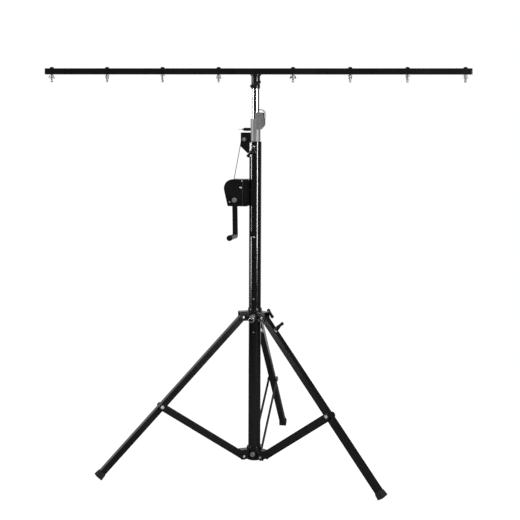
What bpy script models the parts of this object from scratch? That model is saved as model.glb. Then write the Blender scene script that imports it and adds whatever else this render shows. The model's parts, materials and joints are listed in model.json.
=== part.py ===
"""Wind-up lighting stand: a three-stage mast on a folding tripod, raised by a hand winch, with a T-bar on top.

Lengths are in metres. X runs along the T-bar, +Y points to the back leg and Z is up, with the feet on z = 0.
Shapes are written around the mast axis. At the end everything moves by MAST_OFFSET, which puts the
origin at the bottom centre of the bounding box. Azimuths are in degrees, counted from +X towards +Y.
"""
import math

import bmesh
import bpy
from mathutils import Matrix, Vector

MAST_OFFSET = Vector((0.0, -0.1204, 0.0))

# Azimuths of the pieces around the mast.
LEG_AZIMUTH = {"left": 202.4, "right": 322.4, "back": 82.4}
HUB_CLAMP_AZ = 34.0
HUB_LOCK_AZ = 262.4
WINCH_AZ = 172.0
HEAD_AZ = 352.0
HEAD_LOCK_AZ = 176.0
MAST_CLAMP_AZ = 257.4
SOCKET_CLAMP_AZ = 273.4

# Mast stages: inner radius, outer radius, bottom and top.
MAST = (0.0230, 0.0250, 0.0290, 1.3292)
MIDDLE = (0.0164, 0.0180, 0.1000, 1.4200)
INNER = (0.0137, 0.0152, 0.2000, 1.5985)

# T-bar, its socket and its stations.
BAR_LENGTH = 1.730
BAR_HALF = 0.0125
BAR_WALL = 0.002
BAR_Z = 1.6145
SOCKET_BOTTOM = 1.5452
STATIONS = (-0.840, -0.610, -0.381, -0.151, 0.151, 0.381, 0.610, 0.840)
STATION_TURNS = (20.0, 75.0, -35.0, 50.0, -10.0, 60.0, -70.0, 30.0)

# Tripod, in the vertical plane of one leg: (distance from the mast axis, height).
LEG_PIVOT = Vector((0.0530, 0.6173))
FOOT_END = Vector((0.6473, 0.0095))
BRACE_PIVOT = Vector((0.0509, 0.0449))
KNEE_ALONG = 0.4830
KNEE_ACROSS = 0.0016
LEG_HALF = 0.0125
LEG_WALL = 0.002
BRACE_HALF = 0.0134
BRACE_FACES = (0.0165, 0.0195)
FOOT_LENGTH = 0.025
FOOT_HALVES = (0.0143, 0.0160)
LEVEL_SCREW_ALONG = 0.074

# Heights of the screws and plungers, and the parts of the middle head.
MAST_CLAMP_Z = 1.2881
SOCKET_CLAMP_Z = 1.5621
HUB_CLAMP_Z = 0.6221
HUB_LOCK_Z = 0.6201
HEAD_LOCK_Z = 1.3804
LOWER_BOLT_Z = 0.0539
COLLAR = (1.3312, 1.4226)

# Winch, in the vertical plane at WINCH_AZ. The crank is on the negative side.
DRUM_AXIS = Vector((0.0750, 1.1367))
CRANK_AXIS = Vector((0.0750, 1.0947))
CRANK_END = Vector((0.0725, 0.9490))
PLATE_SIDES = (0.0300, 0.0330)
GEAR_SPAN = (-0.0240, -0.0180)
GEAR_MODULE = 0.002
GEAR_TEETH = 30
PINION_TEETH = 12
CABLE_RADIUS = 0.0015
DRUM_WRAP_RADIUS = 0.0210
DRUM_TURNS = 3
TOP_PULLEY = Vector((0.0437, 1.3399))
TOP_PULLEY_WRAP = 0.0145
HEAD_PULLEY = Vector((0.0270, 1.4370))

# Holes, the shanks that run in them, and the gap between pieces that touch. The legs and braces turn
# at constant ratios, so the knee bolts drift up to 1.4 mm in the brace holes and need wider ones.
HOLE = 0.0045
KNEE_HOLE = 0.0057
SHANK = 0.0040
PIVOT_HEAD = 0.0057
KNEE_HEAD = 0.0079
GAP = 0.0003


def reset():
    for obj in list(bpy.data.objects):
        bpy.data.objects.remove(obj)


def make_collection(name):
    collection = bpy.data.collections.new(name)
    bpy.context.scene.collection.children.link(collection)
    return collection


def make_material(name, colour, metallic, roughness):
    material = bpy.data.materials.new(name)
    material.use_nodes = True
    shader = material.node_tree.nodes["Principled BSDF"]
    shader.inputs["Base Color"].default_value = (*colour, 1.0)
    shader.inputs["Metallic"].default_value = metallic
    shader.inputs["Roughness"].default_value = roughness
    return material


reset()
PARTS = make_collection("crank_lighting_stand")
CUTTERS = make_collection("cutters")

BLACK_PAINT = make_material("black_powder_coat", (0.012, 0.012, 0.013), 0.0, 0.42)
BLACK_PLASTIC = make_material("black_plastic", (0.015, 0.015, 0.015), 0.0, 0.50)
RUBBER = make_material("rubber", (0.020, 0.020, 0.020), 0.0, 0.80)
ZINC = make_material("zinc_plate", (0.62, 0.62, 0.60), 1.0, 0.30)
CHROME = make_material("chrome", (0.80, 0.80, 0.80), 1.0, 0.08)
GREY_ZINC = make_material("grey_zinc", (0.40, 0.40, 0.39), 0.9, 0.40)
STEEL_CABLE = make_material("steel_cable", (0.45, 0.45, 0.45), 1.0, 0.35)


# ---------------------------------------------------------------- frames

def shift(x, y, z):
    return Matrix.Translation((x, y, z))


def turn(degrees, axis):
    return Matrix.Rotation(math.radians(degrees), 4, axis)


def side_frame(azimuth, point=(0.0, 0.0), tilt=0.0):
    """Frame in the vertical plane at an azimuth, with its origin at (distance, height) in that plane.

    Local X points outwards and is tilted up by tilt degrees, local Y is square to it in the plane,
    and local Z is sideways.
    """
    plane = turn(azimuth, "Z") @ turn(90.0, "X")
    return plane @ shift(point[0], point[1], 0.0) @ turn(tilt, "Z")


def spoke(azimuth, height, roll=0.0):
    """Frame on the mast axis whose local Z points outwards; roll turns it about that direction."""
    return side_frame(azimuth, (0.0, height)) @ turn(90.0, "Y") @ turn(roll, "Z")


def heading(start, end):
    return math.degrees(math.atan2(end.y - start.y, end.x - start.x))


# ---------------------------------------------------------------- shapes, each a new object

def place(mesh, frame):
    obj = bpy.data.objects.new("shape", mesh)
    bpy.context.scene.collection.objects.link(obj)
    obj.matrix_world = frame
    return obj


def block(x_span, y_span, z_span, frame=Matrix()):
    spans = (x_span, y_span, z_span)
    centre = [(low + high) / 2 for low, high in spans]
    size = [high - low for low, high in spans]
    bm = bmesh.new()
    bmesh.ops.create_cube(bm, size=1.0, matrix=shift(*centre) @ Matrix.Diagonal((*size, 1.0)))
    mesh = bpy.data.meshes.new("block")
    bm.to_mesh(mesh)
    bm.free()
    return place(mesh, frame)


def cone(radii, span, frame=Matrix(), sides=16, turned_by=0.0):
    """A cone or cylinder along local Z, with radii at the low and the high end of span."""
    matrix = shift(0.0, 0.0, (span[0] + span[1]) / 2) @ turn(turned_by, "Z")
    bm = bmesh.new()
    bmesh.ops.create_cone(bm, cap_ends=True, segments=sides, radius1=radii[0], radius2=radii[1],
                          depth=span[1] - span[0], matrix=matrix)
    mesh = bpy.data.meshes.new("cone")
    bm.to_mesh(mesh)
    bm.free()
    return place(mesh, frame)


def rod(radius, span, frame=Matrix(), sides=16):
    return cone((radius, radius), span, frame, sides)


def hexagon(across_flats, span, frame):
    corner = across_flats / math.sqrt(3.0)
    return cone((corner, corner), span, frame, 6)


def turned(profile, frame=Matrix(), steps=16):
    """Turn (radius, height) points about local Z; the points run down the outer side.

    A profile that stays off the axis is closed into a ring.
    """
    bm = bmesh.new()
    points = [bm.verts.new((radius, 0.0, height)) for radius, height in profile]
    for start, end in zip(points, points[1:]):
        bm.edges.new((start, end))
    if profile[0][0] > 0.0:
        bm.edges.new((points[-1], points[0]))
    mesh = bpy.data.meshes.new("profile")
    bm.to_mesh(mesh)
    bm.free()
    obj = place(mesh, frame)
    screw = obj.modifiers.new("turn", "SCREW")
    screw.steps = steps
    screw.render_steps = steps
    screw.use_merge_vertices = True
    screw.merge_threshold = 0.00001
    return obj


def pipe(inner, outer, low, high, frame=Matrix(), steps=32):
    return turned([(outer, high), (outer, low), (inner, low), (inner, high)], frame, steps)


def solid_from_curve(curve, frame):
    """Turn a curve into one closed mesh: its caps are welded on."""
    obj = bpy.data.objects.new("curve", curve)
    bpy.context.scene.collection.objects.link(obj)
    bpy.context.view_layer.update()
    graph = bpy.context.evaluated_depsgraph_get()
    mesh = bpy.data.meshes.new_from_object(obj.evaluated_get(graph))
    bpy.data.objects.remove(obj)
    bm = bmesh.new()
    bm.from_mesh(mesh)
    bmesh.ops.remove_doubles(bm, verts=bm.verts, dist=0.00001)
    bm.to_mesh(mesh)
    bm.free()
    return place(mesh, frame)


def add_spline(curve, points, cyclic):
    spline = curve.splines.new("POLY")
    spline.points.add(len(points) - 1)
    for target, point in zip(spline.points, points):
        target.co = (*point, 1.0)
    spline.use_cyclic_u = cyclic


def plate(outline, span, frame=Matrix()):
    """A flat outline of (x, y) points, thick from local z = span[0] to span[1]."""
    curve = bpy.data.curves.new("outline", "CURVE")
    curve.dimensions = "2D"
    curve.fill_mode = "BOTH"
    curve.extrude = (span[1] - span[0]) / 2
    add_spline(curve, [(x, y, 0.0) for x, y in outline], True)
    middle = (span[0] + span[1]) / 2
    obj = solid_from_curve(curve, frame @ shift(0.0, 0.0, middle))
    obj.data.transform(shift(0.0, 0.0, middle))
    obj.matrix_world = frame
    return obj


def wire(points, radius, closed, resolution=1):
    """A round wire along a list of points, with flat ends unless it is a loop."""
    curve = bpy.data.curves.new("wire", "CURVE")
    curve.dimensions = "3D"
    curve.bevel_depth = radius
    curve.bevel_resolution = resolution
    curve.use_fill_caps = True
    add_spline(curve, points, closed)
    return solid_from_curve(curve, Matrix())


def arc(centre, radius, start, end, count):
    """Points on an arc from one angle to another, in degrees."""
    points = []
    for i in range(count + 1):
        angle = math.radians(start + (end - start) * i / count)
        points.append((centre[0] + radius * math.cos(angle), centre[1] + radius * math.sin(angle)))
    return points


def round_bar(length, radius):
    """Outline of a bar with round ends, about the origin and about (length, 0)."""
    return arc((length, 0.0), radius, -90.0, 90.0, 8) + arc((0.0, 0.0), radius, 90.0, 270.0, 8)


def ring_points(centre, first, second, radius, count):
    """A circle of points in the plane of two unit directions."""
    points = []
    for i in range(count):
        angle = 2.0 * math.pi * i / count
        points.append(centre + (first * math.cos(angle) + second * math.sin(angle)) * radius)
    return points


# ---------------------------------------------------------------- parts, joins and cuts

def move_to(obj, collection):
    bpy.context.scene.collection.objects.unlink(obj)
    collection.objects.link(obj)


def make_part(name, obj, material):
    obj.name = name
    obj.data.name = name
    obj.data.materials.clear()
    obj.data.materials.append(material)
    move_to(obj, PARTS)
    return obj


def use_tool(obj, tool, operation):
    tool.name = f"{obj.name}_{operation.lower()}"
    tool.display_type = "WIRE"
    tool.hide_render = True
    move_to(tool, CUTTERS)
    boolean = obj.modifiers.new(operation.lower(), "BOOLEAN")
    boolean.operation = operation
    boolean.solver = "EXACT"
    boolean.object = tool


def join(obj, *tools):
    for tool in tools:
        use_tool(obj, tool, "UNION")


def cut(obj, *tools):
    for tool in tools:
        use_tool(obj, tool, "DIFFERENCE")


def soften(obj, width, segments=2):
    bevel = obj.modifiers.new("soften", "BEVEL")
    bevel.width = width
    bevel.segments = segments
    bevel.limit_method = "ANGLE"
    bevel.angle_limit = math.radians(40.0)


def both_sides(inner, outer):
    """The z spans of a pair of cheeks, one on each side of a plane."""
    return (-outer, -inner), (inner, outer)


# ---------------------------------------------------------------- mast and stages

def add_mast():
    inner, outer, low, high = MAST
    mast = make_part("mast_tube", pipe(inner, outer, low, high), BLACK_PAINT)
    clamp = spoke(MAST_CLAMP_AZ, MAST_CLAMP_Z)
    join(mast, rod(0.0095, (0.0238, 0.0360), clamp))
    cut(mast, rod(HOLE, (0.0100, 0.0500), clamp))
    cut(mast, block((0.0200, 0.0300), (1.2990, 1.3400), (-0.0032, 0.0032), side_frame(WINCH_AZ)))
    make_part("middle_tube", pipe(*MIDDLE), GREY_ZINC)
    make_part("inner_tube", pipe(*INNER, steps=24), CHROME)


def add_middle_head():
    """Collar welded on the middle tube, with two cheeks that hold the upper cable pulley."""
    low, high = COLLAR
    plane = side_frame(HEAD_AZ)
    head = make_part("middle_head", pipe(0.0170, 0.0202, low, high), GREY_ZINC)
    left, right, top, bottom, rounding = 0.0010, 0.0366, 1.4488, 1.3804, 0.0140
    cheek = [(left, top), (left, bottom), (right - 0.0143, bottom), (right, bottom + 0.0175)]
    cheek += arc((right - rounding, top - rounding), rounding, 0.0, 90.0, 6)
    for span in both_sides(0.0165, 0.0190):
        join(head, plate(cheek, span, plane))
    join(head, block((0.0150, 0.0240), (bottom + 0.0025, high - 0.0056), (-0.0170, 0.0170), plane))
    centre = side_frame(HEAD_AZ, HEAD_PULLEY)
    cut(head, rod(MIDDLE[1] + GAP, (low - 0.0100, high + 0.0004), sides=32))
    cut(head, rod(SHANK, (-0.0300, 0.0300), centre))
    cut(head, rod(0.0042, (0.0100, 0.0400), spoke(HEAD_LOCK_AZ, HEAD_LOCK_Z)))

    groove = [(0.0100, 0.0045), (0.0100, 0.0030), (0.0075, 0.0012), (0.0075, -0.0012), (0.0100, -0.0030),
              (0.0100, -0.0045), (0.0041, -0.0045), (0.0041, 0.0045)]
    make_part("head_pulley", turned(groove, centre, 20), BLACK_PLASTIC)
    make_part("head_axle", rod(0.0037, (-0.0189, 0.0189), centre), ZINC)

    crown = (0.0245, 1.4454)
    strap = arc(crown, 0.0160, 120.0, 0.0, 12) + [(0.0405, 1.4250), (0.0335, 1.4250), (0.0335, 1.4275)]
    strap += [(0.0380, 1.4275)] + arc(crown, 0.0135, 0.0, 120.0, 12)
    make_part("head_guard", plate(strap, (-0.0162, 0.0162), plane), CHROME)


def add_head_lock():
    """Spring plunger that pins the middle stage; its pull ring lies flat."""
    frame = spoke(HEAD_LOCK_AZ, HEAD_LOCK_Z)
    barrel = [(0.0055, 0.0490), (0.0065, 0.0470), (0.0065, 0.0240), (0.0050, 0.0206), (0.0034, 0.0206),
              (0.0034, 0.0490)]
    make_part("head_lock_barrel", turned(barrel, frame), BLACK_PLASTIC)
    pin = make_part("head_lock_pin", rod(0.0029, (0.0190, 0.0560), frame, 12), ZINC)
    outward = frame.to_3x3().col[2]
    sideways = Vector((0.0, 0.0, 1.0)).cross(outward)
    centre = frame @ Vector((0.0, 0.0, 0.0630))
    join(pin, wire(ring_points(centre, outward, sideways, 0.0082, 20), 0.0010, True))


# ---------------------------------------------------------------- T-bar

def add_t_socket():
    top = BAR_Z - BAR_HALF - 0.0005
    flange = 0.0065
    profile = [(0.0225, top), (0.0225, top - 0.0025), (0.0180, top - flange), (0.0180, SOCKET_BOTTOM),
               (0.0156, SOCKET_BOTTOM), (0.0156, top)]
    socket = make_part("t_socket", turned(profile, steps=24), BLACK_PAINT)
    clamp = spoke(SOCKET_CLAMP_AZ, SOCKET_CLAMP_Z)
    join(socket, rod(0.0085, (0.0168, 0.0270), clamp))
    cut(socket, rod(HOLE, (0.0100, 0.0400), clamp))


def add_t_bar():
    span = (-BAR_HALF, BAR_HALF)
    end = BAR_LENGTH / 2
    frame = shift(0.0, 0.0, BAR_Z)
    bar = make_part("t_bar", block((-end, end), span, span, frame), BLACK_PAINT)
    soften(bar, 0.0025)
    inside = (-BAR_HALF + BAR_WALL, BAR_HALF - BAR_WALL)
    cut(bar, block((-end + BAR_WALL, end - BAR_WALL), inside, inside, frame))
    for x in STATIONS:
        cut(bar, rod(0.0054, (-0.0200, 0.0200), frame @ shift(x, 0.0, 0.0), 12))


def add_fixture_bolts():
    """Domed bolt at each lamp station; its wing nut hangs low enough for a lamp bracket to slip in."""
    top = BAR_HALF + GAP
    under = -top - 0.0024
    half = [(0.0135, -0.0120), (0.0135, -0.0065), (0.0110, -0.0040), (0.0030, -0.0030)]
    lower = [(0.0030, -0.0100), (0.0060, -0.0105), (0.0085, -0.0135), (0.0115, -0.0145)]
    wing = half + [(-x, z) for x, z in half[::-1]] + [(-x, z) for x, z in lower[::-1]] + lower
    profile = [(0.0, top + 0.0058), (0.0045, top + 0.0052), (0.0078, top + 0.0034), (0.0092, top),
               (0.0048, top), (0.0048, under), (0.0090, under), (0.0066, under - 0.0110),
               (0.0048, under - 0.0110), (0.0048, under - 0.0290), (0.0, under - 0.0290)]
    for i, (x, angle) in enumerate(zip(STATIONS, STATION_TURNS), start=1):
        frame = shift(x, 0.0, BAR_Z)
        bolt = make_part(f"fixture_bolt_{i}", turned(profile, frame, 12), ZINC)
        upright = frame @ shift(0.0, 0.0, under) @ turn(angle, "Z") @ turn(90.0, "X")
        join(bolt, plate(wing, (-0.0013, 0.0013), upright))


# ---------------------------------------------------------------- T-handled screws

def crossbar(frame, handle):
    """Handle bar along local Y, a little thicker at its rounded ends."""
    half = [(0.0, 0.0240), (0.0054, 0.0232), (0.0072, 0.0200), (0.0058, 0.0080)]
    profile = half + [(radius, -height) for radius, height in half[::-1]]
    return turned(profile, frame @ shift(0.0, 0.0, handle) @ turn(-90.0, "X"), 12)


def add_t_screw(name, frame, tip, shoulder, handle):
    """Screw along local Z with a crossbar handle; tip, shoulder and handle are places along it."""
    profile = [(0.0, handle), (0.0062, handle), (0.0082, shoulder + 0.0040), (0.0075, shoulder),
               (SHANK, shoulder), (SHANK, tip), (0.0, tip)]
    screw = make_part(name, turned(profile, frame, 12), BLACK_PLASTIC)
    join(screw, crossbar(frame, handle))


def add_level_screw():
    """T-screw in the outer face of the right leg; its tip ends inside the tube."""
    frame = leg_frame("right", LEVEL_SCREW_ALONG) @ turn(-90.0, "X") @ turn(17.5, "Z")
    add_t_screw("level_clamp_screw", frame, -0.0080, 0.0160, 0.0440)


# ---------------------------------------------------------------- tripod

def leg_frame(side, along=0.0):
    """Local X runs down the leg from its pivot, local Y is its outer face and local Z is sideways."""
    tilt = heading(LEG_PIVOT, FOOT_END)
    return side_frame(LEG_AZIMUTH[side], LEG_PIVOT, tilt) @ shift(along, 0.0, 0.0)


def knee_point():
    """The knee bolt, in the vertical plane of a leg."""
    point = side_frame(0.0, LEG_PIVOT, heading(LEG_PIVOT, FOOT_END)) @ Vector((KNEE_ALONG, KNEE_ACROSS, 0.0))
    return Vector((point.x, point.z))


def bolt(half_grip, head, frame, washer=()):
    """Shank with a round head at each end, and spacer washers where they are given."""
    half = [(0.0, half_grip + 0.0044), (head - 0.0016, half_grip + 0.0042), (head, half_grip + 0.0026),
            (head, half_grip), (SHANK, half_grip)]
    if washer:
        half += [(SHANK, washer[1]), (0.0080, washer[1]), (0.0080, washer[0]), (SHANK, washer[0])]
    return turned(half + [(radius, -height) for radius, height in half[::-1]], frame, 12)


def add_leg(side):
    length = (FOOT_END - LEG_PIVOT).length
    frame = leg_frame(side)
    outline = [(length - 0.0055, -LEG_HALF), (length - 0.0055, LEG_HALF)]
    outline += arc((0.0, 0.0), LEG_HALF, 90.0, 270.0, 8)
    leg = make_part(f"leg_{side}", plate(outline, (-LEG_HALF, LEG_HALF), frame), BLACK_PAINT)
    soften(leg, 0.0025)
    inside = (-LEG_HALF + LEG_WALL, LEG_HALF - LEG_WALL)
    cut(leg, block((0.0140, length), inside, inside, frame))
    knee = frame @ shift(KNEE_ALONG, KNEE_ACROSS, 0.0)
    cut(leg, rod(HOLE, (-0.0300, 0.0300), frame), rod(HOLE, (-0.0300, 0.0300), knee))
    if side == "right":
        cut(leg, rod(HOLE, (0.0, 0.0300), leg_frame(side, LEVEL_SCREW_ALONG) @ turn(-90.0, "X")))

    make_part(f"leg_pivot_{side}", bolt(0.0163, PIVOT_HEAD, frame), ZINC)
    washer = (LEG_HALF + GAP, BRACE_FACES[0] - GAP)
    make_part(f"knee_bolt_{side}", bolt(BRACE_FACES[1] + GAP, KNEE_HEAD, knee, washer), ZINC)


def add_foot(side):
    """Rubber cap on the end of a leg; the floor trims its lower edge flat."""
    length = (FOOT_END - LEG_PIVOT).length
    frame = leg_frame(side) @ turn(90.0, "Y")
    corner = math.sqrt(2.0)
    radii = (FOOT_HALVES[0] * corner, FOOT_HALVES[1] * corner)
    cap = cone(radii, (length - FOOT_LENGTH, length), frame, 4, 45.0)
    foot = make_part(f"foot_{side}", cap, RUBBER)
    soften(foot, 0.0015)
    pocket = (-LEG_HALF - GAP, LEG_HALF + GAP)
    cut(foot, block(pocket, pocket, (length - 0.0400, length - 0.0050), frame))
    cut(foot, block((-1.0, 1.0), (-1.0, 1.0), (-0.1, 0.0)))


def add_braces(side):
    """A pair of flat bars from the lower hub to the knee of one leg."""
    knee = knee_point()
    length = (knee - BRACE_PIVOT).length
    frame = side_frame(LEG_AZIMUTH[side], BRACE_PIVOT, heading(BRACE_PIVOT, knee))
    for letter, span in zip("ab", both_sides(*BRACE_FACES)):
        bar = make_part(f"brace_{side}_{letter}", plate(round_bar(length, BRACE_HALF), span, frame), BLACK_PAINT)
        for x, radius in ((0.0, HOLE), (length, KNEE_HOLE)):
            cut(bar, rod(radius, (-0.0300, 0.0300), frame @ shift(x, 0.0, 0.0)))
    make_part(f"brace_pivot_{side}", bolt(BRACE_FACES[1] + GAP, PIVOT_HEAD, frame), ZINC)


def add_lugs(hub, solid, hollow, pivot):
    """Three channels, open at the bottom and the outer end, that hold the legs or braces."""
    for azimuth in LEG_AZIMUTH.values():
        join(hub, block(*solid, side_frame(azimuth)))
    for azimuth in LEG_AZIMUTH.values():
        cut(hub, block(*hollow, side_frame(azimuth)))
        cut(hub, rod(HOLE, (-0.0300, 0.0300), side_frame(azimuth, pivot)))


def add_upper_hub():
    low, high = 0.6043, 0.6525
    shoulder = high - 0.0120
    profile = [(0.0268, high), (0.0280, high - 0.0017), (0.0280, shoulder + 0.0025), (0.0315, shoulder),
               (0.0315, low + 0.0015), (0.0300, low), (0.0254, low), (0.0254, high)]
    hub = make_part("upper_hub", turned(profile, steps=24), BLACK_PAINT)
    solid = ((0.0290, 0.0670), (low - 0.0020, shoulder), (-0.0160, 0.0160))
    hollow = ((0.0335, 0.0800), (low - 0.0200, shoulder - 0.0040), (-0.0131, 0.0131))
    add_lugs(hub, solid, hollow, LEG_PIVOT)
    clamp = spoke(HUB_CLAMP_AZ, HUB_CLAMP_Z)
    join(hub, rod(0.0100, (0.0285, 0.0420), clamp))
    cut(hub, rod(HOLE, (0.0200, 0.0600), clamp), rod(HOLE, (0.0200, 0.0600), spoke(HUB_LOCK_AZ, HUB_LOCK_Z)))


def add_hub_lock():
    """Spring plunger in a hexagon barrel that pins the upper hub to the mast; its ring hangs."""
    frame = spoke(HUB_LOCK_AZ, HUB_LOCK_Z)
    barrel = make_part("hub_lock_barrel", hexagon(0.0190, (0.0320, 0.0560), frame), ZINC)
    soften(barrel, 0.0010, 1)
    cut(barrel, rod(0.0042, (0.0200, 0.0700), frame))
    pin = make_part("hub_lock_pin", rod(0.0037, (0.0262, 0.0630), frame, 12), ZINC)
    outward = frame.to_3x3().col[2]
    up = Vector((0.0, 0.0, 1.0))
    swing = math.radians(48.0)
    hang = outward * math.sin(swing) - up * math.cos(swing)
    centre = frame @ Vector((0.0, 0.0, 0.0605)) + hang * 0.0120
    join(pin, wire(ring_points(centre, hang, up.cross(outward), 0.0120, 20), 0.0013, True))


def add_lower_hub():
    low, high = 0.0272, 0.0808
    profile = [(0.0305, high), (0.0317, high - 0.0015), (0.0317, high - 0.0110), (0.0300, high - 0.0125),
               (0.0300, low + 0.0030), (0.0280, low), (0.0254, low), (0.0254, high)]
    hub = make_part("lower_hub", turned(profile, steps=24), BLACK_PAINT)
    solid = ((0.0275, 0.0622), (0.0325, 0.0717), (-0.0157, 0.0157))
    hollow = ((0.0345, 0.0700), (0.0200, 0.0687), (-0.0127, 0.0127))
    add_lugs(hub, solid, hollow, BRACE_PIVOT)
    frame = spoke(HUB_LOCK_AZ, LOWER_BOLT_Z)
    cut(hub, rod(HOLE, (0.0200, 0.0400), frame))
    nut = make_part("lower_hub_bolt", hexagon(0.0190, (0.0320, 0.0395), frame), ZINC)
    soften(nut, 0.0010, 1)
    join(nut, rod(SHANK, (0.0262, 0.0340), frame, 12))


# ---------------------------------------------------------------- winch

def gear(teeth, phase, frame):
    """Spur gear with straight-sided teeth, thin enough to run freely."""
    pitch = GEAR_MODULE * teeth / 2
    root = pitch - 0.0023
    tip = pitch + 0.0017
    outline = []
    for i in range(teeth):
        middle = math.radians(phase) + 2.0 * math.pi * i / teeth
        for radius, offset in ((root, -0.0019), (tip, -0.0007), (tip, 0.0007), (root, 0.0019)):
            angle = middle + offset / radius
            outline.append((radius * math.cos(angle), radius * math.sin(angle)))
    return plate(outline, GEAR_SPAN, frame)


def cover_outline(inset, open_edge):
    """Side view of the winch casing: flat top, round outer shoulder and a slanting front."""
    top, bottom = 1.1778 - inset, 1.0680 + inset
    shoulder = (0.0868, top - 0.0370 + inset)
    outline = [(open_edge, bottom), (open_edge, top)]
    outline += arc(shoulder, 0.0370 - inset, 90.0, -10.0, 10)
    outline.append((0.1080 - inset, bottom))
    return outline


def add_winch_body():
    plane = side_frame(WINCH_AZ)
    low, high = 1.0682, 1.1776
    inner, outer = PLATE_SIDES
    frame = make_part("winch_frame", block((0.0285, 0.0440), (low, high), (-outer, outer), plane), BLACK_PAINT)
    join(frame, block((0.0430, 0.0900), (low + 0.0030, high - 0.0030), (-outer, outer), plane))
    cut(frame, block((0.0315, 0.1200), (low - 0.01, high + 0.01), (-inner, inner), plane))
    join(frame, block((0.0200, 0.0300), (low + 0.004, high - 0.004), (-0.0150, 0.0150), plane))
    cut(frame, rod(MAST[1] + GAP, (1.0, 1.25), sides=32))
    for axis in (DRUM_AXIS, CRANK_AXIS):
        cut(frame, rod(0.0064, (-0.0400, 0.0400), side_frame(WINCH_AZ, axis)))

    cover = make_part("winch_cover", plate(cover_outline(0.0, 0.0443), (-0.0365, 0.0365), plane), BLACK_PAINT)
    soften(cover, 0.0030)
    cut(cover, plate(cover_outline(0.0025, 0.0300), (-0.0335, 0.0335), plane))
    cut(cover, block((0.0780, 0.0960), (1.1650, 1.1900), (-0.0140, 0.0140), plane))
    cut(cover, rod(0.0075, (-0.0500, -0.0200), side_frame(WINCH_AZ, CRANK_AXIS)))


def add_winch_drive():
    drum_frame = side_frame(WINCH_AZ, DRUM_AXIS)
    profile = [(0.0, 0.0150), (0.0280, 0.0150), (0.0280, 0.0130), (0.0190, 0.0125), (0.0190, -0.0125),
               (0.0280, -0.0130), (0.0280, -0.0150), (0.0120, -0.0150), (0.0120, -0.0200), (0.0, -0.0200)]
    drum = make_part("winch_drum", turned(profile, drum_frame, 24), ZINC)
    join(drum, gear(GEAR_TEETH, -90.0 + 180.0 / GEAR_TEETH, drum_frame))
    cut(drum, rod(0.0064, (-0.0400, 0.0400), drum_frame))
    make_part("drum_axle", rod(0.0060, (-0.0332, 0.0332), drum_frame), ZINC)

    crank_frame = side_frame(WINCH_AZ, CRANK_AXIS)
    shaft = make_part("crank_shaft", rod(0.0060, (-0.0560, 0.0332), crank_frame), ZINC)
    join(shaft, gear(PINION_TEETH, 90.0, crank_frame), hexagon(0.0190, (-0.0545, -0.0473), crank_frame))

    length = (CRANK_END - CRANK_AXIS).length
    arm_frame = side_frame(WINCH_AZ, CRANK_AXIS, heading(CRANK_AXIS, CRANK_END))
    arm = make_part("crank_arm", plate(round_bar(length, 0.0106), (-0.0470, -0.0410), arm_frame), BLACK_PAINT)
    soften(arm, 0.0010)
    cut(arm, rod(0.0063, (-0.0600, -0.0300), arm_frame))
    end_frame = side_frame(WINCH_AZ, CRANK_END)
    pin = [(0.0, -0.0440), (SHANK, -0.0440), (SHANK, -0.1505), (0.0074, -0.1505), (0.0074, -0.1530),
           (0.0060, -0.1545), (0.0, -0.1545)]
    join(arm, turned(pin, end_frame, 12))
    grip = [(0.0105, -0.0475), (0.0112, -0.0500), (0.0098, -0.0560), (0.0104, -0.0800), (0.0102, -0.1200),
            (0.0117, -0.1350), (0.0117, -0.1465), (0.0098, -0.1500), (0.0044, -0.1500), (0.0044, -0.0475)]
    make_part("crank_grip", turned(grip, end_frame, 20), BLACK_PLASTIC)


def tangent_angle(start, start_radius, end, end_radius):
    """Direction, in radians, from both circle centres to the ends of their shared outer tangent."""
    gap = end - start
    side = Vector((gap.y, -gap.x)).normalized()
    lean = (start_radius - end_radius) / gap.length
    towards = side * math.sqrt(1.0 - lean * lean) + gap.normalized() * lean
    return math.atan2(towards.y, towards.x)


def add_cable():
    """Steel cable: wound on the drum, up to the top pulley, over it and down inside the mast."""
    leave = tangent_angle(DRUM_AXIS, DRUM_WRAP_RADIUS, TOP_PULLEY, TOP_PULLEY_WRAP)
    points = []
    steps = 18 * DRUM_TURNS
    for i in range(steps + 1):
        still_wound = 1.0 - i / steps
        angle = leave - 2.0 * math.pi * DRUM_TURNS * still_wound
        points.append((DRUM_AXIS.x + DRUM_WRAP_RADIUS * math.cos(angle),
                       DRUM_AXIS.y + DRUM_WRAP_RADIUS * math.sin(angle), -0.0105 * still_wound))
    inside = Vector((0.0205, 1.3050))
    away = inside - TOP_PULLEY
    arrive = math.atan2(away.y, away.x) - math.acos(TOP_PULLEY_WRAP / away.length)
    if arrive < leave:
        arrive += 2.0 * math.pi
    over = arc(TOP_PULLEY, TOP_PULLEY_WRAP, math.degrees(leave), math.degrees(arrive), 12)
    points += [(x, y, 0.0) for x, y in over]
    points += [(inside.x, inside.y, 0.0), (inside.x, inside.y - 0.0230, 0.0)]
    plane = side_frame(WINCH_AZ)
    path = [plane @ Vector(point) for point in points]
    make_part("winch_cable", wire(path, CABLE_RADIUS, False), STEEL_CABLE)


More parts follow.
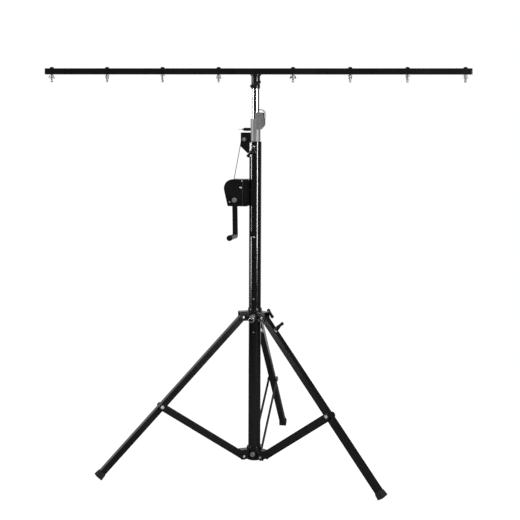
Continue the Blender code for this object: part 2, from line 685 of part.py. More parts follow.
def add_top_pulley():
    plane = side_frame(WINCH_AZ)
    centre = side_frame(WINCH_AZ, TOP_PULLEY)
    left, inner, outer, top, bottom = 0.0205, 0.0262, 0.0586, 1.3674, 1.2831
    cheek = [(outer, top), (left, top), (left, 1.3334), (inner, 1.3289), (inner, bottom + 0.0020),
             (inner + 0.0038, bottom), (outer, 1.3105)]
    saddle = block((0.0200, 0.0310), (bottom + 0.0030, 1.3035), (-0.0110, 0.0110), plane)
    bracket = make_part("pulley_bracket", saddle, BLACK_PAINT)
    for span in both_sides(0.0105, 0.0130):
        join(bracket, plate(cheek, span, plane))
    cut(bracket, rod(MAST[1] + GAP, (1.2, MAST[3] + 0.0010), sides=32))
    cut(bracket, rod(HOLE, (-0.0300, 0.0300), centre))
    groove = [(0.0170, 0.0050), (0.0170, 0.0036), (0.0127, 0.0016), (0.0127, -0.0016), (0.0170, -0.0036),
              (0.0170, -0.0050), (0.0047, -0.0050), (0.0047, 0.0050)]
    make_part("top_pulley", turned(groove, centre, 24), ZINC)
    axle = make_part("pulley_axle", rod(SHANK, (-0.0205, 0.0205), centre), ZINC)
    for span in both_sides(0.0133, 0.0190):
        join(axle, hexagon(0.0150, span, centre))


def add_everything():
    add_mast()
    add_middle_head()
    add_head_lock()
    add_t_socket()
    add_t_bar()
    add_fixture_bolts()
    add_t_screw("socket_screw", spoke(SOCKET_CLAMP_AZ, SOCKET_CLAMP_Z, -59.0), 0.0157, 0.0275, 0.0450)
    add_t_screw("mast_clamp_screw", spoke(MAST_CLAMP_AZ, MAST_CLAMP_Z, -39.0), 0.0190, 0.0365, 0.0620)
    add_t_screw("hub_clamp_screw", spoke(HUB_CLAMP_AZ, HUB_CLAMP_Z, -54.0), 0.0262, 0.0425, 0.0740)
    add_upper_hub()
    add_hub_lock()
    add_lower_hub()
    for side in LEG_AZIMUTH:
        add_leg(side)
        add_foot(side)
        add_braces(side)
    add_level_screw()
    add_winch_body()
    add_winch_drive()
    add_cable()
    add_top_pulley()


add_everything()
for collection in (PARTS, CUTTERS):
    for item in collection.objects:
        item.location += MAST_OFFSET
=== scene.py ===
"""Looks for the wind-up lighting stand: materials, fittings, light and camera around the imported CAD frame.

Everything is in metres, in the CAD's frame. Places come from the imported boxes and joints. Shapes are
written around the mast axis, in vertical planes at the azimuths of the joints.
"""
import json
import math

import bmesh
import bpy
from mathutils import Matrix, Vector


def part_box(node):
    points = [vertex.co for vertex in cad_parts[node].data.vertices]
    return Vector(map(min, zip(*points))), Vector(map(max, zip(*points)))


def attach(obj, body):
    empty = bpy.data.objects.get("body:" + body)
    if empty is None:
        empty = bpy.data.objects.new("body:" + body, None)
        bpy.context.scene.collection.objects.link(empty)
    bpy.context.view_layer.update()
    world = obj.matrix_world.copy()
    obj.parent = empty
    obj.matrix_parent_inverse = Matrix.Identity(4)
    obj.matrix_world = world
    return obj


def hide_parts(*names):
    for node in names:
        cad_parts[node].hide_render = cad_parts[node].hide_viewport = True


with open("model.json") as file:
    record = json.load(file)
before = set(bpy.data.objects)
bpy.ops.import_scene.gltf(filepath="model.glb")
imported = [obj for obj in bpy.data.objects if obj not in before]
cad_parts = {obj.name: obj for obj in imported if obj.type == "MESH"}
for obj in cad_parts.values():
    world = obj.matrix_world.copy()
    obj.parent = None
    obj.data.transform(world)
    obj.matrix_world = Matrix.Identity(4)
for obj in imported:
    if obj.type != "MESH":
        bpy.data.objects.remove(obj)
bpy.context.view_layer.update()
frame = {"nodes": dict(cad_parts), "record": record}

RECORD = frame["record"]
JOINTS = {joint["name"]: joint for joint in RECORD["behaviour"]["joints"]}
SLOT_OF = {part["node"]: part["material_slot"] for part in RECORD["subparts"]}
SIDES = ("left", "right", "back")
UP = Vector((0.0, 0.0, 1.0))


# ---------------------------------------------------------------- places from the frame

def middle(node):
    low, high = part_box(node)
    return (Vector(low) + Vector(high)) / 2


def low_z(node):
    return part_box(node)[0][2]


def high_z(node):
    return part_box(node)[1][2]


def joint_point(name):
    return Vector(JOINTS[name]["pos_m"])


def swing_azimuth(name):
    """Azimuth, in degrees, of the vertical plane that a hinge turns in."""
    axis = Vector(JOINTS[name]["axis"])
    return math.degrees(math.atan2(axis.x, -axis.y))


MAST_AXIS = Vector((middle("inner_tube").x, middle("inner_tube").y, 0.0))
LEG_AZIMUTH = {side: swing_azimuth(f"leg_{side}_hinge") for side in SIDES}
WINCH_AZ = swing_azimuth("drum_turn")
CAMERA_AZ = 274.402
SMOOTH_BELOW = math.radians(35.0)


def shift(x, y, z):
    return Matrix.Translation((x, y, z))


def turn(degrees, axis):
    return Matrix.Rotation(math.radians(degrees), 4, axis)


def in_plane(point, azimuth):
    """A place in the model as (distance from the mast axis, height) in the plane at an azimuth."""
    outward = turn(azimuth, "Z") @ Vector((1.0, 0.0, 0.0))
    return Vector(((point - MAST_AXIS).dot(outward), point.z))


def side_frame(azimuth, point=(0.0, 0.0), tilt=0.0):
    """Frame in the vertical plane at an azimuth.

    X points outwards, and up by tilt degrees. Y is square to it in that plane, and Z points sideways.
    """
    plane = Matrix.Translation(MAST_AXIS) @ turn(azimuth, "Z") @ turn(90.0, "X")
    return plane @ shift(point[0], point[1], 0.0) @ turn(tilt, "Z")


def spoke(azimuth, height, distance):
    """Frame at a distance from the mast axis whose local Z points outwards."""
    return side_frame(azimuth, (distance, height)) @ turn(90.0, "Y")


# ---------------------------------------------------------------- materials

class Nodes:
    """Short calls for the node tree of one material."""

    def __init__(self, name):
        self.material = bpy.data.materials.new(name)
        self.material.use_nodes = True
        self.tree = self.material.node_tree
        self.shader = self.tree.nodes["Principled BSDF"]
        self.place = self.add("ShaderNodeTexCoord").outputs["Object"]

    def add(self, kind, **settings):
        node = self.tree.nodes.new(kind)
        for key, value in settings.items():
            setattr(node, key, value)
        return node

    def link(self, source, target):
        self.tree.links.new(source, target)

    def scaled(self, stretch):
        mapping = self.add("ShaderNodeMapping")
        mapping.inputs["Scale"].default_value = stretch
        self.link(self.place, mapping.inputs["Vector"])
        return mapping.outputs["Vector"]

    def noise(self, scale, detail=3.0, stretch=(1.0, 1.0, 1.0)):
        node = self.add("ShaderNodeTexNoise")
        node.inputs["Scale"].default_value = scale
        node.inputs["Detail"].default_value = detail
        self.link(self.scaled(stretch), node.inputs["Vector"])
        return node.outputs["Fac"]

    def ramp(self, source, stops):
        """Stops are (position, colour) pairs; a number stands for a grey."""
        node = self.add("ShaderNodeValToRGB")
        elements = node.color_ramp.elements
        while len(elements) < len(stops):
            elements.new(0.5)
        for element, (position, colour) in zip(elements, stops):
            element.position = position
            element.color = (*colour, 1.0) if isinstance(colour, tuple) else (colour, colour, colour, 1.0)
        self.link(source, node.inputs["Fac"])
        return node.outputs["Color"]

    def mix(self, amount, first, second):
        """Blend of two colour sources by a third source."""
        node = self.add("ShaderNodeMix", data_type="RGBA")
        self.link(amount, node.inputs["Factor"])
        for source, socket in ((first, node.inputs["A"]), (second, node.inputs["B"])):
            if isinstance(source, tuple):
                socket.default_value = (*source, 1.0)
            else:
                self.link(source, socket)
        return node.outputs["Result"]

    def edges(self, radius, low, high):
        """White along the sharp outer edges, black elsewhere, from the bevelled normal."""
        bevel = self.add("ShaderNodeBevel", samples=4)
        bevel.inputs["Radius"].default_value = radius
        geometry = self.add("ShaderNodeNewGeometry")
        dot = self.add("ShaderNodeVectorMath", operation="DOT_PRODUCT")
        self.link(bevel.outputs["Normal"], dot.inputs[0])
        self.link(geometry.outputs["Normal"], dot.inputs[1])
        return self.ramp(dot.outputs["Value"], ((low, 1.0), (high, 0.0)))

    def times(self, first, second):
        node = self.add("ShaderNodeMath", operation="MULTIPLY")
        self.link(first, node.inputs[0])
        self.link(second, node.inputs[1])
        return node.outputs["Value"]

    def bump(self, height, distance):
        node = self.add("ShaderNodeBump")
        node.inputs["Distance"].default_value = distance
        node.inputs["Strength"].default_value = 1.0
        self.link(height, node.inputs["Height"])
        self.link(node.outputs["Normal"], self.shader.inputs["Normal"])

    def finish(self, colour, roughness, **constants):
        self.link(colour, self.shader.inputs["Base Color"])
        self.link(roughness, self.shader.inputs["Roughness"])
        for name, value in constants.items():
            self.shader.inputs[name.replace("_", " ")].default_value = value
        return self.material


def powder_coat(name, tones, roughnesses, ior):
    """Black powder coat: fine orange peel, faint dust, and edges rubbed a little lighter."""
    m = Nodes(name)
    dark, light = ((tone, tone, tone * 1.05) for tone in tones)
    patches = m.ramp(m.noise(7.0, 4.0), ((0.35, dark), (0.70, light)))
    worn = m.times(m.edges(0.0009, 0.82, 0.97), m.ramp(m.noise(45.0), ((0.45, 0.0), (0.62, 1.0))))
    colour = m.mix(worn, patches, (0.055, 0.055, 0.056))
    roughness = m.ramp(m.noise(22.0, 5.0), ((0.30, roughnesses[0]), (0.75, roughnesses[1])))
    m.bump(m.noise(1400.0, 1.0), 0.000005)
    return m.finish(colour, roughness, IOR=ior)


def moulded_plastic():
    """Black moulded plastic with a fine matt grain."""
    m = Nodes("black_plastic")
    colour = m.ramp(m.noise(18.0), ((0.35, (0.007, 0.007, 0.007)), (0.70, (0.013, 0.013, 0.013))))
    roughness = m.ramp(m.noise(60.0, 4.0), ((0.30, 0.26), (0.75, 0.36)))
    m.bump(m.noise(2200.0, 2.0), 0.000012)
    return m.finish(colour, roughness, IOR=1.46)


def rubber():
    """Dull rubber, with grey scuffs and dust."""
    m = Nodes("rubber")
    scuffs = m.ramp(m.noise(90.0, 6.0, (1.0, 1.0, 0.35)), ((0.52, 0.0), (0.72, 1.0)))
    colour = m.mix(scuffs, (0.010, 0.010, 0.010), (0.027, 0.0265, 0.026))
    roughness = m.ramp(m.noise(120.0), ((0.30, 0.68), (0.75, 0.90)))
    m.bump(m.noise(700.0, 4.0), 0.00006)
    return m.finish(colour, roughness)


def zinc():
    """Bright zinc plating, slightly blotchy."""
    m = Nodes("zinc_plate")
    colour = m.ramp(m.noise(160.0, 5.0), ((0.30, (0.66, 0.67, 0.68)), (0.70, (0.82, 0.82, 0.80))))
    roughness = m.ramp(m.noise(260.0, 3.0), ((0.30, 0.38), (0.75, 0.50)))
    m.bump(m.noise(1100.0, 2.0), 0.000012)
    return m.finish(colour, roughness, Metallic=1.0)


def chrome():
    """Polished chrome with faint draw lines along the tube."""
    m = Nodes("chrome")
    lines = m.noise(900.0, 2.0, (1.0, 1.0, 0.01))
    colour = m.ramp(lines, ((0.30, (0.74, 0.75, 0.76)), (0.70, (0.84, 0.84, 0.84))))
    roughness = m.ramp(m.noise(40.0, 4.0), ((0.30, 0.05), (0.80, 0.13)))
    m.bump(lines, 0.000004)
    return m.finish(colour, roughness, Metallic=1.0)


def grey_zinc():
    """Dull zinc plating over drawn tube, streaked along its length."""
    m = Nodes("grey_zinc")
    streaks = m.noise(240.0, 5.0, (1.0, 1.0, 0.04))
    colour = m.ramp(streaks, ((0.30, (0.31, 0.313, 0.317)), (0.72, (0.42, 0.42, 0.415))))
    roughness = m.ramp(m.noise(55.0, 4.0), ((0.30, 0.50), (0.75, 0.62)))
    m.bump(streaks, 0.00001)
    return m.finish(colour, roughness, Metallic=0.7)


def steel_cable():
    """Galvanised wire rope."""
    m = Nodes("steel_cable")
    colour = m.ramp(m.noise(500.0, 3.0), ((0.35, (0.30, 0.30, 0.30)), (0.65, (0.56, 0.56, 0.55))))
    roughness = m.ramp(m.noise(300.0), ((0.30, 0.28), (0.75, 0.48)))
    m.bump(m.noise(2500.0, 1.0), 0.00003)
    return m.finish(colour, roughness, Metallic=1.0)


MATERIALS = {
    "black_powder_coat": powder_coat("black_powder_coat", (0.0060, 0.0115), (0.19, 0.27), 1.5),
    "black_plastic": moulded_plastic(),
    "rubber": rubber(),
    "zinc_plate": zinc(),
    "chrome": chrome(),
    "grey_zinc": grey_zinc(),
    "steel_cable": steel_cable(),
}
MAST_COAT = powder_coat("mast_powder_coat", (0.0045, 0.0080), (0.10, 0.15), 1.8)

for node, obj in frame["nodes"].items():
    obj.data.materials.clear()
    obj.data.materials.append(MAST_COAT if node == "mast_tube" else MATERIALS[SLOT_OF[node]])


# ---------------------------------------------------------------- smooth shading of the CAD nodes

def smooth_by_angle():
    """Node group that welds the imported triangles and smooths all but the sharp edges."""
    group = bpy.data.node_groups.new("smooth_by_angle", "GeometryNodeTree")
    for direction in ("INPUT", "OUTPUT"):
        group.interface.new_socket("Geometry", in_out=direction, socket_type="NodeSocketGeometry")
    start = group.nodes.new("NodeGroupInput")
    weld = group.nodes.new("GeometryNodeMergeByDistance")
    weld.inputs["Distance"].default_value = 0.00001
    plain = group.nodes.new("GeometryNodeRemoveAttribute")
    plain.inputs["Name"].default_value = "custom_normal"
    faces = group.nodes.new("GeometryNodeSetShadeSmooth")
    edges = group.nodes.new("GeometryNodeSetShadeSmooth")
    edges.domain = "EDGE"
    edges.inputs["Shade Smooth"].default_value = False
    angle = group.nodes.new("GeometryNodeInputMeshEdgeAngle")
    sharp = group.nodes.new("FunctionNodeCompare")
    sharp.operation = "GREATER_THAN"
    sharp.inputs[1].default_value = SMOOTH_BELOW
    end = group.nodes.new("NodeGroupOutput")
    chain = (start, weld, plain, faces, edges, end)
    for before, after in zip(chain, chain[1:]):
        group.links.new(before.outputs["Geometry"], after.inputs["Geometry"])
    group.links.new(angle.outputs["Unsigned Angle"], sharp.inputs[0])
    group.links.new(sharp.outputs["Result"], edges.inputs["Selection"])
    return group


def keep_faces_flat(obj):
    """Lets the large faces set the shading, so that only their rounded edges look rounded."""
    obj.modifiers.new("flat faces", "WEIGHTED_NORMAL").keep_sharp = True


SMOOTH = smooth_by_angle()
for obj in frame["nodes"].values():
    obj.modifiers.new("smooth", "NODES").node_group = SMOOTH
    keep_faces_flat(obj)


# ---------------------------------------------------------------- pieces

def add_piece(name, bm, place, slot, body, bevel=0.0):
    """A new piece from a mesh in a local frame, riding on a body."""
    bmesh.ops.recalc_face_normals(bm, faces=bm.faces)
    mesh = bpy.data.meshes.new(name)
    bm.to_mesh(mesh)
    bm.free()
    mesh.materials.append(MATERIALS[slot])
    mesh.shade_smooth()
    mesh.set_sharp_from_angle(angle=SMOOTH_BELOW)
    piece = bpy.data.objects.new(name, mesh)
    bpy.context.scene.collection.objects.link(piece)
    piece.matrix_world = place
    if bevel:
        soften = piece.modifiers.new("soften", "BEVEL")
        soften.width = bevel
        soften.segments = 2
        soften.angle_limit = math.radians(40.0)
        soften.harden_normals = True
    else:
        keep_faces_flat(piece)
    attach(piece, body)
    return piece


def turned(name, profile, place, slot, body, steps=24):
    """Turn (radius, height) points about local Z."""
    bm = bmesh.new()
    points = [bm.verts.new((radius, 0.0, height)) for radius, height in profile]
    edges = [bm.edges.new(pair) for pair in zip(points, points[1:])]
    bmesh.ops.spin(bm, geom=points + edges, axis=(0.0, 0.0, 1.0), cent=(0.0, 0.0, 0.0),
                   angle=2.0 * math.pi, steps=steps, use_merge=True)
    bmesh.ops.remove_doubles(bm, verts=bm.verts, dist=0.000001)
    return add_piece(name, bm, place, slot, body)


def prism(name, outline, span, place, slot, body, bevel=0.0003):
    """A flat outline of (x, y) points, thick from local z = span[0] to span[1], with softened edges."""
    bm = bmesh.new()
    face = bm.faces.new([bm.verts.new((x, y, span[0])) for x, y in outline])
    grown = bmesh.ops.extrude_face_region(bm, geom=[face])["geom"]
    corners = [item for item in grown if isinstance(item, bmesh.types.BMVert)]
    bmesh.ops.translate(bm, verts=corners, vec=(0.0, 0.0, span[1] - span[0]))
    return add_piece(name, bm, place, slot, body, bevel)


def swept(name, section, start, end, slot, body, steps=24, bevel=0.0002):
    """A closed (radius, height) section swept round the mast from one azimuth to another."""
    bm = bmesh.new()
    rows = []
    for i in range(steps + 1):
        angle = math.radians(start + (end - start) * i / steps)
        row = [bm.verts.new((radius * math.cos(angle), radius * math.sin(angle), height))
               for radius, height in section]
        rows.append(row)
    count = len(section)
    for row, following in zip(rows, rows[1:]):
        for k in range(count):
            after = (k + 1) % count
            bm.faces.new((row[k], row[after], following[after], following[k]))
    bm.faces.new(rows[0])
    bm.faces.new(rows[-1])
    return add_piece(name, bm, Matrix.Translation(MAST_AXIS), slot, body, bevel)


def bead(name, points, radii, slot, body):
    """A round bead along points, with its own radius at each of them."""
    curve = bpy.data.curves.new(name, "CURVE")
    curve.dimensions = "3D"
    curve.bevel_depth = 1.0
    curve.bevel_resolution = 3
    curve.use_fill_caps = True
    spline = curve.splines.new("POLY")
    spline.points.add(len(points) - 1)
    for target, point, radius in zip(spline.points, points, radii):
        target.co = (*point, 1.0)
        target.radius = radius
    curve.materials.append(MATERIALS[slot])
    piece = bpy.data.objects.new(name, curve)
    bpy.context.scene.collection.objects.link(piece)
    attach(piece, body)


def add_wings(prefix, suffix, edge, half_thickness, place, body):
    """The two wings of a wing nut; edge is the outline of one, as (distance from the axis, depth)."""
    for side, sign in (("a", 1.0), ("b", -1.0)):
        outline = [(sign * x, z) for x, z in edge]
        prism(f"{prefix}_{side}{suffix}", outline, (-half_thickness, half_thickness), place @ turn(90.0, "X"),
              "zinc_plate", body, 0.0007)


# ---------------------------------------------------------------- T-bar fittings

BAR = middle("t_bar")
BAR_HALF = (high_z("t_bar") - low_z("t_bar")) / 2
BAR_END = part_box("t_bar")[1][0]
STATION_TURNS = (20.0, 75.0, -35.0, 50.0, -10.0, 60.0, -70.0, 30.0)
NUT_TOP = -BAR_HALF - 0.0027
SHANK_END = low_z("fixture_bolt_1") - BAR.z

WING_EDGE = ((0.0030, -0.0028), (0.0075, -0.0030), (0.0112, -0.0046), (0.0134, -0.0075), (0.0139, -0.0105),
             (0.0132, -0.0134), (0.0115, -0.0147), (0.0098, -0.0142), (0.0082, -0.0128), (0.0060, -0.0105),
             (0.0030, -0.0100))


def add_station(index, angle):
    """Domed black head over the bar, threaded shank through it and a wing nut under it."""
    node = f"fixture_bolt_{index}"
    place = Matrix.Translation((middle(node).x, BAR.y, BAR.z))
    top = BAR_HALF + 0.0003
    dome = [(0.0, top + 0.0058), (0.0025, top + 0.0056), (0.0050, top + 0.0050), (0.0072, top + 0.0037),
            (0.0086, top + 0.0019), (0.0092, top), (0.0, top)]
    head = turned(f"bolt_head_{index}", dome, place, "black_plastic", node)
    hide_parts(node)
    pitch = 0.0014
    thread = [(0.0, top)]
    height = top
    while height > SHANK_END + 0.0016:
        thread += [(0.0048, height), (0.0042, height - pitch / 2)]
        height -= pitch
    thread += [(0.0036, SHANK_END), (0.0, SHANK_END)]
    turned(f"bolt_shank_{index}", thread, place, "zinc_plate", node, 16)
    hub = [(0.0049, NUT_TOP), (0.0085, NUT_TOP), (0.0091, NUT_TOP - 0.0006), (0.0086, NUT_TOP - 0.0020),
           (0.0068, NUT_TOP - 0.0100), (0.0062, NUT_TOP - 0.0108), (0.0049, NUT_TOP - 0.0110)]
    turned(f"wing_nut_hub_{index}", hub, place, "zinc_plate", node)
    nut = place @ shift(0.0, 0.0, NUT_TOP) @ turn(angle, "Z")
    add_wings("wing", f"_{index}", WING_EDGE, 0.0013, nut, node)


def add_bar_ends():
    """Plastic plugs in the open ends of the bar, with a shallow sunk face."""
    half = 0.0123
    square = ((-half, -half), (half, -half), (half, half), (-half, half))
    for side, sign in (("left", -1.0), ("right", 1.0)):
        bm = bmesh.new()
        face = bm.faces.new([bm.verts.new((x, y, 0.0)) for x, y in square])
        grown = bmesh.ops.extrude_face_region(bm, geom=[face])["geom"]
        front = [item for item in grown if isinstance(item, bmesh.types.BMFace)]
        corners = [item for item in grown if isinstance(item, bmesh.types.BMVert)]
        bmesh.ops.translate(bm, verts=corners, vec=(0.0, 0.0, 0.0018))
        bmesh.ops.inset_region(bm, faces=front, thickness=0.0040, depth=-0.0005)
        place = Matrix.Translation((sign * (BAR_END + 0.0001), BAR.y, BAR.z)) @ turn(sign * 90.0, "Y")
        add_piece(f"bar_plug_{side}", bm, place, "black_plastic", "t_bar", 0.0006)


def add_socket_welds():
    """Two uneven weld beads where the bar's lower edges meet the socket's flange."""
    reach = 0.0185
    steps = 32
    for side, sign in (("front", -1.0), ("back", 1.0)):
        points = []
        radii = []
        for i in range(steps + 1):
            x = -reach + 2.0 * reach * i / steps
            wobble = math.sin(i * 2.1) + 0.5 * math.sin(i * 4.7)
            points.append((MAST_AXIS.x + x, BAR.y + sign * (BAR_HALF + 0.0003), BAR.z - BAR_HALF - 0.0004))
            radii.append(0.0017 + 0.00025 * wobble)
        bead(f"socket_weld_{side}", points, radii, "black_powder_coat", "t_bar")


for index, angle in enumerate(STATION_TURNS, start=1):
    add_station(index, angle)
add_bar_ends()
add_socket_welds()


# ---------------------------------------------------------------- mast, winch and leg fittings

MAST_RADIUS = (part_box("mast_tube")[1][0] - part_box("mast_tube")[0][0]) / 2
MAST_TOP = high_z("mast_tube")
MAST_SCREW_AZ = 262.0
LEG_SCREW_ALONG = 0.0740
BACK_NUT_ALONG = 0.0920

BACK_WING_EDGE = ((0.0040, 0.0040), (0.0090, 0.0042), (0.0130, 0.0066), (0.0165, 0.0112), (0.0176, 0.0150),
                  (0.0172, 0.0180), (0.0152, 0.0192), (0.0130, 0.0178), (0.0100, 0.0138), (0.0070, 0.0112),
                  (0.0040, 0.0104))


def screw_head(name, place, radius, slot, body):
    """Low domed screw head with a small sunk drive, standing on local z = 0."""
    dome = [(0.0, radius * 0.22), (radius * 0.20, radius * 0.26), (radius * 0.30, radius * 0.46),
            (radius * 0.36, radius * 0.50), (radius * 0.70, radius * 0.40), (radius * 0.92, radius * 0.22),
            (radius, 0.0), (0.0, 0.0)]
    return turned(name, dome, place, slot, body, 20)


def add_mast_screws():
    """Four screws down the front of the mast: two domed, one flush and one on a washer."""
    for name, height in (("top", 1.3111), ("middle", 0.9430)):
        place = spoke(MAST_SCREW_AZ, height, MAST_RADIUS - 0.0003)
        screw_head(f"mast_screw_{name}", place, 0.0042, "zinc_plate", "mast")
    flush = [(0.0, 0.0003), (0.0012, 0.0003), (0.0014, 0.0006), (0.0034, 0.0006), (0.0038, 0.0003),
             (0.0038, 0.0)]
    hub_stop = spoke(MAST_SCREW_AZ, 0.6908, MAST_RADIUS - 0.0004)
    turned("mast_screw_flush", flush, hub_stop, "grey_zinc", "mast", 20)
    low = spoke(MAST_SCREW_AZ, 0.5545, MAST_RADIUS - 0.0006)
    washer = [(0.0030, 0.0), (0.0030, 0.0012), (0.0062, 0.0010), (0.0066, 0.0)]
    turned("mast_screw_washer", washer, low, "black_plastic", "mast", 20)
    screw_head("mast_screw_low", low @ shift(0.0, 0.0, 0.0009), 0.0036, "grey_zinc", "mast")


def add_mast_top():
    """Zinc strap beside the pulley bracket, and the guide bush in the mast's mouth, slit for the cable."""
    strap = ((0.02505, 1.2695), (0.0263, 1.2695), (0.0263, 1.3270), (0.02505, 1.3270))
    swept("mast_strap", strap, 199.0, 233.0, "zinc_plate", "mast", 12)
    bush = ((0.0184, 1.3050), (0.0228, 1.3050), (0.0228, MAST_TOP + 0.0001), (0.0246, MAST_TOP + 0.0001),
            (0.0246, MAST_TOP + 0.0016), (0.0184, MAST_TOP + 0.0016))
    swept("mast_bushing", bush, WINCH_AZ + 14.0, WINCH_AZ + 346.0, "black_plastic", "mast", 40)


def add_winch_screws():
    """Three screws on the side of the winch cover that holds the crank."""
    spots = ((0.0527, 1.1441, 0.0046), (0.0480, 1.1703, 0.0026), (0.0974, 1.0844, 0.0034))
    for index, (distance, height, radius) in enumerate(spots, start=1):
        place = side_frame(WINCH_AZ, (distance, height)) @ shift(0.0, 0.0, -0.0365) @ turn(180.0, "X")
        screw_head(f"cover_screw_{index}", place, radius, "zinc_plate", "mast")


def leg_frame(side, along):
    """Local X runs down the leg from its pivot, local Y is its outer face and local Z is sideways."""
    pivot = in_plane(joint_point(f"leg_{side}_hinge"), LEG_AZIMUTH[side])
    foot = in_plane(middle(f"foot_{side}"), LEG_AZIMUTH[side])
    tilt = math.degrees(math.atan2(foot.y - pivot.y, foot.x - pivot.x))
    return side_frame(LEG_AZIMUTH[side], pivot, tilt) @ shift(along, 0.0, 0.0)


def add_leg_collar():
    """Zinc collar under the right leg's T-screw."""
    collar = [(0.0042, 0.0130), (0.0042, 0.0158), (0.0088, 0.0158), (0.0094, 0.0152), (0.0094, 0.0130)]
    place = leg_frame("right", LEG_SCREW_ALONG) @ turn(-90.0, "X")
    turned("leg_screw_collar", collar, place, "zinc_plate", "leg_right")


def add_back_leg_nut():
    """Wing nut and washer on the back leg's inner face."""
    place = leg_frame("back", BACK_NUT_ALONG) @ turn(90.0, "X") @ shift(0.0, 0.0020, 0.0126)
    washer = [(0.0042, 0.0), (0.0042, 0.0014), (0.0096, 0.0014), (0.0100, 0.0010), (0.0100, 0.0)]
    turned("back_leg_washer", washer, place, "zinc_plate", "leg_back")
    hub = [(0.0, 0.0016), (0.0088, 0.0016), (0.0092, 0.0022), (0.0070, 0.0118), (0.0062, 0.0124),
           (0.0044, 0.0126), (0.0040, 0.0150), (0.0, 0.0152)]
    turned("back_leg_nut", hub, place, "zinc_plate", "leg_back")
    add_wings("back_leg_wing", "", BACK_WING_EDGE, 0.0014, place @ turn(118.0, "Z"), "leg_back")


add_mast_screws()
add_mast_top()
add_winch_screws()
add_leg_collar()
add_back_leg_nut()


# ---------------------------------------------------------------- floor, light and camera

CAMERA_DISTANCE = 4.6086
CAMERA_HEIGHT = 1.3898
CAMERA_HEADING = 4.403
CAMERA_PITCH = 2.675
CAMERA_ROLL = 0.230
LENS = 78.516
LENS_SHIFT = (0.00903, -0.15385)


def add_camera():
    """A long lens a little below bar height, with plain colours: white stays white and black stays black."""
    bpy.context.scene.view_settings.view_transform = "Standard"
    data = bpy.data.cameras.new("camera")
    data.sensor_width = 36.0
    data.lens = LENS
    data.shift_x, data.shift_y = LENS_SHIFT
    camera = bpy.data.objects.new("camera", data)
    bpy.context.scene.collection.objects.link(camera)
    away = turn(CAMERA_AZ, "Z") @ Vector((CAMERA_DISTANCE, 0.0, CAMERA_HEIGHT))
    aim = turn(CAMERA_HEADING, "Z") @ turn(90.0 - CAMERA_PITCH, "X") @ turn(CAMERA_ROLL, "Z")
    camera.matrix_world = Matrix.Translation(MAST_AXIS + away) @ aim
    bpy.context.scene.camera = camera


def add_softbox(name, azimuth, distance, height, target_height, size, power):
    """Rectangular area light at a place around the mast, turned towards a height on the mast's axis."""
    data = bpy.data.lights.new(name, "AREA")
    data.shape = "RECTANGLE"
    data.size, data.size_y = size
    data.energy = power
    light = bpy.data.objects.new(name, data)
    bpy.context.scene.collection.objects.link(light)
    place = MAST_AXIS + turn(azimuth, "Z") @ Vector((distance, 0.0, height))
    look = MAST_AXIS + UP * target_height - place
    light.rotation_mode = "QUATERNION"
    light.rotation_quaternion = look.to_track_quat("-Z", "Y")
    light.location = place


def add_world():
    """White behind the object, and a dim grey dome for everything that reflects or fills."""
    world = bpy.data.worlds.new("studio")
    world.use_nodes = True
    bpy.context.scene.world = world
    tree = world.node_tree
    background = tree.nodes["Background"]
    path = tree.nodes.new("ShaderNodeLightPath")
    strength = tree.nodes.new("ShaderNodeMapRange")
    strength.inputs["To Min"].default_value = 0.05
    strength.inputs["To Max"].default_value = 1.02
    background.inputs["Color"].default_value = (1.0, 1.0, 1.0, 1.0)
    tree.links.new(path.outputs["Is Camera Ray"], strength.inputs["Value"])
    tree.links.new(strength.outputs["Result"], background.inputs["Strength"])


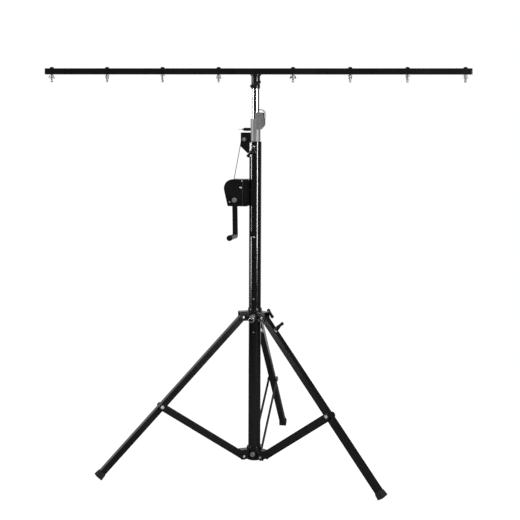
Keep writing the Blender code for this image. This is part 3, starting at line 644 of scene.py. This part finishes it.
def add_floor():
    """Pale floor that fades out into the white around it."""
    radius = 4.0
    mesh = bpy.data.meshes.new("floor")
    bm = bmesh.new()
    bmesh.ops.create_circle(bm, cap_ends=True, segments=96, radius=radius)
    bm.to_mesh(mesh)
    bm.free()
    floor = bpy.data.objects.new("floor", mesh)
    bpy.context.scene.collection.objects.link(floor)
    floor.location = MAST_AXIS - UP * 0.0004

    material = bpy.data.materials.new("pale_floor")
    material.use_nodes = True
    tree = material.node_tree
    tree.nodes.remove(tree.nodes["Principled BSDF"])
    place = tree.nodes.new("ShaderNodeTexCoord")
    length = tree.nodes.new("ShaderNodeVectorMath")
    length.operation = "LENGTH"
    fade = tree.nodes.new("ShaderNodeMapRange")
    fade.interpolation_type = "SMOOTHSTEP"
    fade.inputs["From Min"].default_value = 0.9
    fade.inputs["From Max"].default_value = radius * 0.8
    paint = tree.nodes.new("ShaderNodeBsdfDiffuse")
    paint.inputs["Color"].default_value = (0.20, 0.20, 0.20, 1.0)
    glow = tree.nodes.new("ShaderNodeEmission")
    path = tree.nodes.new("ShaderNodeLightPath")
    level = tree.nodes.new("ShaderNodeMapRange")
    level.inputs["To Min"].default_value = 0.0
    level.inputs["To Max"].default_value = 0.96
    both = tree.nodes.new("ShaderNodeAddShader")
    clear = tree.nodes.new("ShaderNodeBsdfTransparent")
    blend = tree.nodes.new("ShaderNodeMixShader")
    tree.links.new(place.outputs["Object"], length.inputs[0])
    tree.links.new(length.outputs["Value"], fade.inputs["Value"])
    tree.links.new(path.outputs["Is Camera Ray"], level.inputs["Value"])
    tree.links.new(level.outputs["Result"], glow.inputs["Strength"])
    tree.links.new(paint.outputs["BSDF"], both.inputs[0])
    tree.links.new(glow.outputs["Emission"], both.inputs[1])
    tree.links.new(fade.outputs["Result"], blend.inputs["Fac"])
    tree.links.new(both.outputs["Shader"], blend.inputs[1])
    tree.links.new(clear.outputs["BSDF"], blend.inputs[2])
    tree.links.new(blend.outputs["Shader"], tree.nodes["Material Output"].inputs["Surface"])
    floor.data.materials.append(material)


add_camera()
add_world()
add_floor()
add_softbox("strip_right", CAMERA_AZ + 42.0, 5.0, 2.25, 2.25, (0.80, 3.9), 210.0)
add_softbox("strip_left", CAMERA_AZ - 78.0, 5.0, 2.05, 2.05, (0.80, 4.0), 135.0)
add_softbox("top", CAMERA_AZ, 0.8, 3.8, 0.9, (2.0, 2.0), 14.0)
add_softbox("behind", CAMERA_AZ + 180.0, 2.0, 1.02, 1.02, (5.0, 2.0), 20.0)
